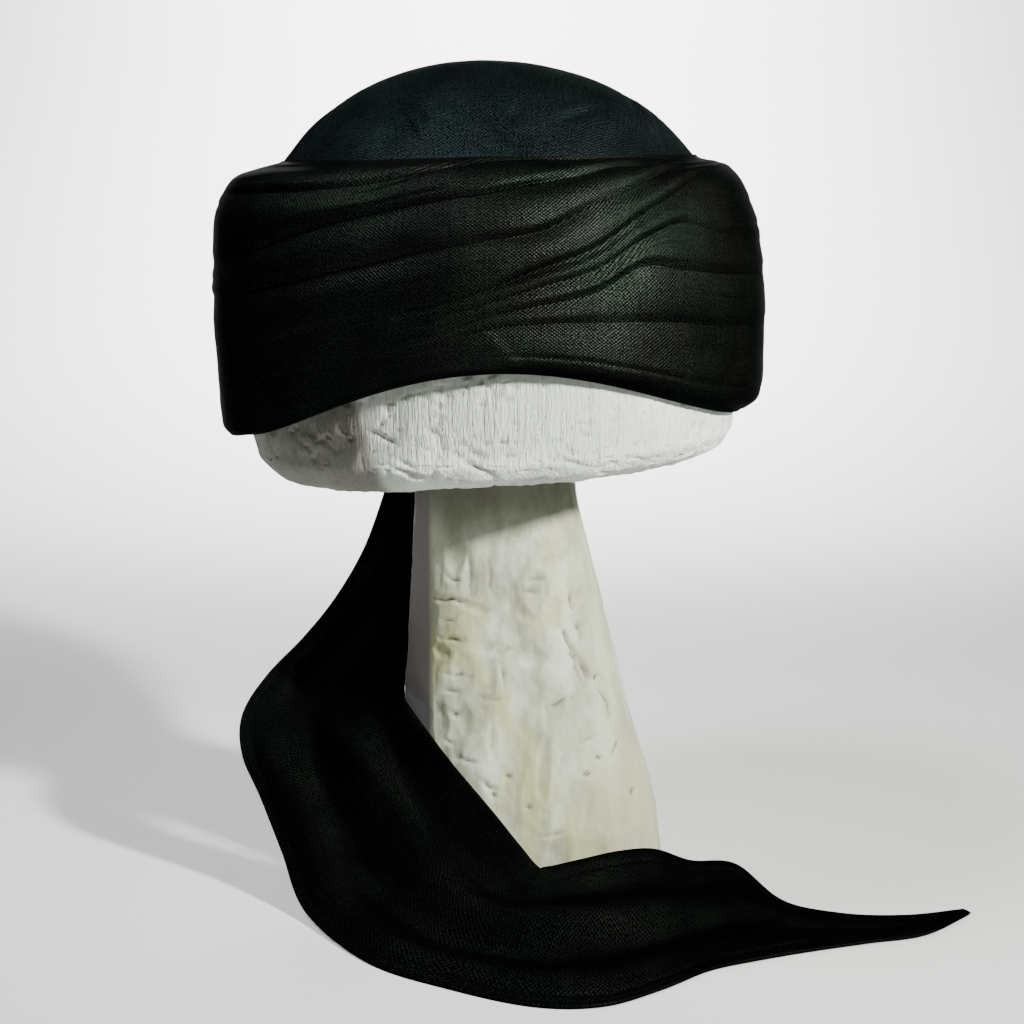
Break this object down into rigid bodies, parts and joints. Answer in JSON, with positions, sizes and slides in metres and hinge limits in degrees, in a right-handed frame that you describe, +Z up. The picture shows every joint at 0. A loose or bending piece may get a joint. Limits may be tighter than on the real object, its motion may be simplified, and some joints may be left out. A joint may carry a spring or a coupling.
{
  "type": "turban on a display stand",
  "caption": "Black wound turban with a domed crown and a long hanging tail, on a plain white block and post stand.",
  "frame": {"origin": "on the flat of the stand's foot, below the top of the post", "axes": "+Z up, the front of the turban faces -Y, +X to the right as seen from the front"},
  "size_m": [0.2821, 0.2228, 0.3128],
  "materials": {
    "worn_paint": "carved wood, off-white paint with worn beige patches, satin",
    "white_paint": "carved wood, white paint with chips and fine grain, matte",
    "black_cloth": "plain-woven black cloth with a visible weave and a soft sheen"
  },
  "bodies": {
    "root": {"stand_post": "worn_paint", "stand_block": "white_paint", "cap": "black_cloth", "turn_1": "black_cloth", "turn_2": "black_cloth", "turn_3": "black_cloth", "turn_4": "black_cloth", "turn_5": "black_cloth", "turn_6": "black_cloth", "turn_7": "black_cloth", "turn_8": "black_cloth", "tail": "black_cloth"}
  },
  "joints": []
}
